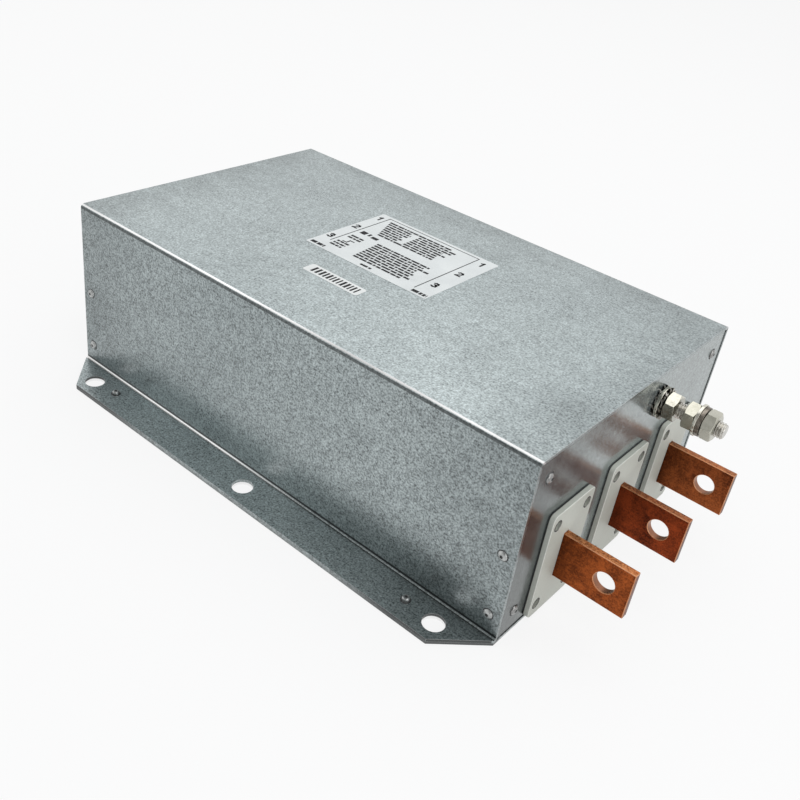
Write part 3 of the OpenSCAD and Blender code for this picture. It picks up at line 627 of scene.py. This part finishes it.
def turned(name, node, axis, profile, made, around, surface=None, capped=False):
    """Rings round each rivet of a node, which points along an axis: 0, 1 or 2.

    The profile lists radius and height, from the rim inwards. Heights count from the surface, given
    as its distance from the middle of the part, or else from the end of the rivet's own head.
    """
    points, faces = [], []
    for low, high in solids(node):
        middle = [(a + b) / 2 for a, b in zip(low, high)]
        out = 1 if axis == 2 or middle[axis] > 0 else -1
        level = surface if surface is not None else abs(high[axis] if out > 0 else low[axis])
        for radius, height in profile:
            for k in range(around):
                angle = 2 * math.pi * k / around
                spot = [0.0, 0.0, 0.0]
                spot[axis] = out * (level + height)
                spot[(axis + 1) % 3] = middle[(axis + 1) % 3] + radius * math.cos(angle)
                spot[(axis + 2) % 3] = middle[(axis + 2) % 3] + radius * math.sin(angle)
                points.append(spot)
        last = len(points) - around
        own = [face for i in range(1, len(profile)) for face in band(last - i * around, around)]
        if capped:
            own.append(tuple(range(last, last + around)))
        faces += wound(own, out)
    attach(mesh_piece(name, points, faces, made), "root")


# Broken mandrels sunk in the rivet heads, near black as painted shade, and thin dark rings on the sheet
# round them as painted shadow

MANDREL_PROFILE = ((0.78, -0.95), (0.78, -0.16), (0.45, -0.06))
RIVET_AXES = {"side_rivets": 1, "end_wall_rivets": 0, "plate_rivets_load": 0, "plate_rivets_line": 0,
              "flange_rivets": 2}
RIVET_SHADOW_RINGS = (("side_rivets", HALF_WIDTH, 2.3, 2.75), ("end_wall_rivets", WALL_FACE, 2.3, 2.95),
         ("flange_rivets", FLANGE_TOP, 1.7, 2.5), ("plate_rivets_load", PLATE_FACE, 2.35, 2.85),
         ("plate_rivets_line", PLATE_FACE, 2.35, 2.85))

for name, axis in RIVET_AXES.items():
    turned("mandrels_" + name, name, axis, MANDREL_PROFILE, MANDREL_IN_SHADE, around=12, capped=True)
for name, surface, inner, outer in RIVET_SHADOW_RINGS:
    profile = ((outer + 0.15, 0.004), (outer, 0.03), (inner, 0.03))
    turned("shadow_rings_" + name, name, RIVET_AXES[name], profile, RIVET_SHADOW, around=20, surface=surface)


# Threaded studs that take the place of the plain ones

STUD_RADIUS = 4.0
STUD_CHAMFER = 0.8
THREAD_PITCH = 1.25
THREAD_DEPTH = 0.62
STEPS_PER_PITCH = 8
STUD_SIDES = 48
HEAD_HEIGHT = 5.28
HEAD_ACROSS_FLATS = 13.0


def thread_radius(x, turn, share, tip):
    """The stud's radius at a place along it and a share of a turn round it."""
    phase = (x / THREAD_PITCH - turn * share) % 1.0
    ridge = min(1.0, max(0.0, 1.35 * (1 - abs(2 * phase - 1)) - 0.12))
    return min(STUD_RADIUS - THREAD_DEPTH * (1 - ridge), STUD_RADIUS - STUD_CHAMFER + (tip - x))


def stud(end):
    turn = ENDS[end]
    low, high = corners("earth_bolt_" + end)
    centre_y, centre_z = (low[1] + high[1]) / 2, (low[2] + high[2]) / 2
    head, tip = sorted((abs(low[0]), abs(high[0])))
    start = head + HEAD_HEIGHT
    rings = int((tip - start) / THREAD_PITCH * STEPS_PER_PITCH)
    points, faces = [], []

    def ring(x, sides, radius):
        for k in range(sides):
            angle = 2 * math.pi * k / sides
            r = radius(k / sides)
            points.append((turn * x, centre_y + r * math.cos(angle), centre_z + r * math.sin(angle)))

    for i in range(rings + 1):
        x = start + (tip - start) * i / rings
        ring(x, STUD_SIDES, lambda share: thread_radius(x, turn, share, tip))
    for i in range(rings):
        faces += band(i * STUD_SIDES, STUD_SIDES)
    faces.append(tuple(range(rings * STUD_SIDES, (rings + 1) * STUD_SIDES)))
    base = len(points)
    for x in (head, start):
        ring(x, 6, lambda share: HEAD_ACROSS_FLATS / math.sqrt(3))
    faces += band(base, 6)
    faces += [tuple(range(base, base + 6))[::-1], tuple(range(base + 6, base + 12))]
    piece = mesh_piece("threaded_stud_" + end, points, wound(faces, turn), BOLT)
    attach(piece, "root")
    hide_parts("earth_bolt_" + end)


for end in ENDS:
    stud(end)


# Labels: a film with rounded corners, and generic print laid on it

FILM_DROP = 0.02
INK_DROP = 0.004
DIGIT_HEIGHT = 4.4
DIGIT_WIDTH = 0.8 * DIGIT_HEIGHT
DIGIT_STROKE = 0.27 * DIGIT_HEIGHT
DIGITS = {
    1: [(0.2, 0.78), (0.55, 1.0), (0.55, 0.0)],
    2: [(0.05, 0.8), (0.2, 0.97), (0.6, 0.97), (0.75, 0.75), (0.65, 0.52), (0.05, 0.0), (0.8, 0.0)],
    3: [(0.05, 0.88), (0.25, 1.0), (0.6, 0.97), (0.72, 0.75), (0.35, 0.54), (0.75, 0.36), (0.72, 0.1),
        (0.4, 0.0), (0.05, 0.12)],
}
LINE_PITCH = 2.7
LINE_HEIGHT = 1.7


def film(name, low, high, radius, made):
    """A flat sheet with rounded corners, seven points to a corner."""
    outline = []
    left, right, near, far = low[0] + radius, high[0] - radius, low[1] + radius, high[1] - radius
    for x, y, first in ((right, far, 0), (left, far, 90), (left, near, 180), (right, near, 270)):
        for k in range(7):
            angle = math.radians(first + 15 * k)
            outline.append((x + radius * math.cos(angle), y + radius * math.sin(angle)))
    count = len(outline)
    points = [(x, y, z) for z in (low[2], high[2] - FILM_DROP) for x, y in outline]
    faces = [tuple(range(count))[::-1], tuple(range(count, 2 * count))] + band(0, count)
    return mesh_piece(name, points, faces, made)


class Print:
    """Flat fields of ink at one height, drawn from the corner of a label."""

    def __init__(self, corner, height):
        self.corner = corner
        self.height = height
        self.points = []
        self.faces = []

    def field(self, outline):
        base = len(self.points)
        self.points += [(self.corner[0] + x, self.corner[1] + y, self.height) for x, y in outline]
        self.faces.append(tuple(range(base, len(self.points))))

    def box(self, x0, y0, x1, y1):
        self.field([(x0, y0), (x1, y0), (x1, y1), (x0, y1)])

    def stroke(self, line, width):
        for (x0, y0), (x1, y1) in zip(line, line[1:]):
            length = math.hypot(x1 - x0, y1 - y0)
            ux, uy = (x1 - x0) / length * width / 2, (y1 - y0) / length * width / 2
            self.field([(x0 - ux + uy, y0 - uy - ux), (x1 + ux + uy, y1 + uy - ux),
                        (x1 + ux - uy, y1 + uy + ux), (x0 - ux - uy, y0 - uy + ux)])

    def dashes(self, rng, x0, x1, y, height, ragged=0.0):
        """A row of short dashes of uneven length."""
        x, end = x0, x1 - rng.random() * ragged
        while x < end:
            step = min(rng.uniform(1.2, 6.0), end - x)
            self.box(x, y, x + step, y + height)
            x += step + rng.uniform(0.40, 0.65)

    def digit(self, number, x, y):
        line = [(x + across * DIGIT_WIDTH, y + up * DIGIT_HEIGHT) for across, up in DIGITS[number]]
        self.stroke(line, DIGIT_STROKE)


def lay_label(node, sheet, ink):
    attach(sheet, "root")
    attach(ink, "root")
    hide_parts(node)


def terminal_sketch(page, rng, width, height):
    """The frame round the print, with the phases' digits and a bold word at each end."""
    left, right, foot, head = 7.2, width - 11.5, 6.0, height - 2.6
    page.stroke([(left, 12.0), (left, head), (right, head), (right, foot)], 0.6)
    for number, drop in ((1, 9.5), (2, 29.5), (3, 50.5)):
        page.digit(number, 1.8, height - drop)
        page.digit(number, right + 3.6, height - drop)
    for x in (1.6, right + 0.8):
        page.dashes(rng, x, x + 9.6, 1.6, 2.6)


def rating_label():
    rng = random.Random(11)
    low, high = corners("rating_label")
    sheet = film("rating_film", low, high, 1.0, FILM)
    page = Print(low, high[2] - INK_DROP)
    width, height = high[0] - low[0], high[1] - low[1]
    terminal_sketch(page, rng, width, height)
    for i in range(8):
        y = height - 7.4 - LINE_PITCH * i
        if i in (0, 7):
            page.dashes(rng, 10.5 + i, 58.0, y, LINE_HEIGHT, 3.0)
        else:
            page.dashes(rng, 10.5 + i, 31.0, y, LINE_HEIGHT, 3.0)
            page.dashes(rng, 34.0, 60.0, y, LINE_HEIGHT, 5.0)
    for i in range(9):
        page.dashes(rng, 26.0 + 0.25 * i, 69.0, 28.4 - LINE_PITCH * i, LINE_HEIGHT, 9.0)
    for y in (8.2, 11.0, 14.0, 22.6, 25.4):
        page.dashes(rng, 9.6, 19.5, y, LINE_HEIGHT, 2.0)
    page.stroke([(12.0, 16.8), (14.5, 16.8), (14.5, 20.0), (17.0, 20.0)], 0.9)
    page.dashes(rng, 37.0, 44.5, 2.2, LINE_HEIGHT)
    page.box(9.8, 32.4, 13.6, 36.4)
    page.box(15.0, 33.0, 16.6, 36.2)
    page.box(18.0, 32.2, 22.6, 35.0)
    lay_label("rating_label", sheet, mesh_piece("rating_print", page.points, page.faces, INK))


def serial_label():
    rng = random.Random(5)
    low, high = corners("serial_label")
    sheet = film("serial_film", low, high, 1.5, PALE_FILM)
    page = Print(low, high[2] - INK_DROP)
    x, end = 4.0, high[0] - low[0] - 3.0
    while x < end:
        wide = rng.choice((1.0, 1.3, 1.6))
        page.box(x, 1.7, x + wide, 7.3)
        x += wide + rng.choice((1.0, 1.2))
    lay_label("serial_label", sheet, mesh_piece("serial_print", page.points, page.faces, INK))


rating_label()
serial_label()


# Floor, light and camera

def seen(tree):
    """1 for the rays that see the pale background: the camera's, and those off metal or through glass."""
    rays = add(tree, "ShaderNodeLightPath").outputs
    reflected = Number(tree, rays["Is Glossy Ray"]).most(rays["Is Transmission Ray"])
    return Number(tree, rays["Is Camera Ray"]).most(reflected)


def floor():
    made, tree, shader = material("pale floor")
    finish(tree, shader, (0.80, 0.80, 0.80, 1), 0.9, 0.0)
    white = add(tree, "ShaderNodeEmission", {"Color": (1, 1, 1, 1), "Strength": 1.0}).outputs[0]
    mixed = add(tree, "ShaderNodeMixShader", {0: seen(tree) * 0.84, 1: shader.outputs[0], 2: white})
    tree.links.new(mixed.outputs[0], tree.nodes["Material Output"].inputs["Surface"])
    size = 4000
    mesh_piece("floor", [(-size, -size, 0), (size, -size, 0), (size, size, 0), (-size, size, 0)],
                        [(0, 1, 2, 3)], made)


def world():
    """White all round with one darker zone above the load end, which the metal mirrors."""
    made = bpy.data.worlds.new("studio")
    bpy.context.scene.world = made
    made.use_nodes = True
    tree = made.node_tree
    tree.nodes.clear()
    way = add(tree, "ShaderNodeTexCoord").outputs["Generated"]
    dark_zone = Vector((0.25, -0.60, 0.76)).normalized()
    toward = add(tree, "ShaderNodeVectorMath", {0: way, 1: dark_zone}, operation="DOT_PRODUCT")
    shaded = Number(tree, toward.outputs["Value"]).remap(0.66, 0.85, 1.0, 0.36)
    white = add(tree, "ShaderNodeBackground", {"Color": (1, 1, 1, 1), "Strength": shaded}).outputs[0]
    fill = add(tree, "ShaderNodeBackground", {"Color": (0.96, 0.98, 1, 1), "Strength": 0.62}).outputs[0]
    mixed = add(tree, "ShaderNodeMixShader", {0: seen(tree), 1: fill, 2: white}).outputs[0]
    tree.links.new(mixed, add(tree, "ShaderNodeOutputWorld").inputs["Surface"])


def lamp(name, at, aim, size, power):
    data = bpy.data.lights.new(name, "AREA")
    data.shape = "RECTANGLE"
    data.size, data.size_y = size
    data.energy = power
    made = bpy.data.objects.new(name, data)
    bpy.context.scene.collection.objects.link(made)
    made.location = at
    made.rotation_mode = "QUATERNION"
    made.rotation_quaternion = (Vector(aim) - Vector(at)).to_track_quat("-Z", "Y")
    made.visible_camera = False


def camera():
    """The photo's own view, with its slight roll and offset."""
    azimuth, elevation, roll = (math.radians(a) for a in (36.186, 31.877, 8.425))
    place_in_metres = (0.274725, -0.368242, 0.312623)
    back = Vector((math.sin(azimuth) * math.cos(elevation), -math.cos(azimuth) * math.cos(elevation),
                   math.sin(elevation)))
    right = Vector((0, 0, 1)).cross(back).normalized()
    up = back.cross(right)
    across = right * math.cos(roll) + up * math.sin(roll)
    above = up * math.cos(roll) - right * math.sin(roll)
    data = bpy.data.cameras.new("camera")
    data.sensor_width = 36.0
    data.lens = 42.80
    data.shift_x, data.shift_y = 0.0161, -0.0244
    data.clip_start, data.clip_end = 0.01, 20.0
    made = bpy.data.objects.new("camera", data)
    bpy.context.scene.collection.objects.link(made)
    turned_to = Matrix((across, above, back)).transposed().to_4x4()
    made.matrix_world = Matrix.Translation(place_in_metres) @ turned_to
    bpy.context.scene.camera = made


floor()
world()
lamp("top", (0.0, 0.25, 1.45), (0, 0.05, 0.05), (2.1, 1.7), 11.0)
lamp("right", (1.2, -0.3, 0.7), (0.1, 0, 0.05), (1.2, 1.0), 3.5)
camera()
bpy.context.scene.view_settings.view_transform = "Standard"
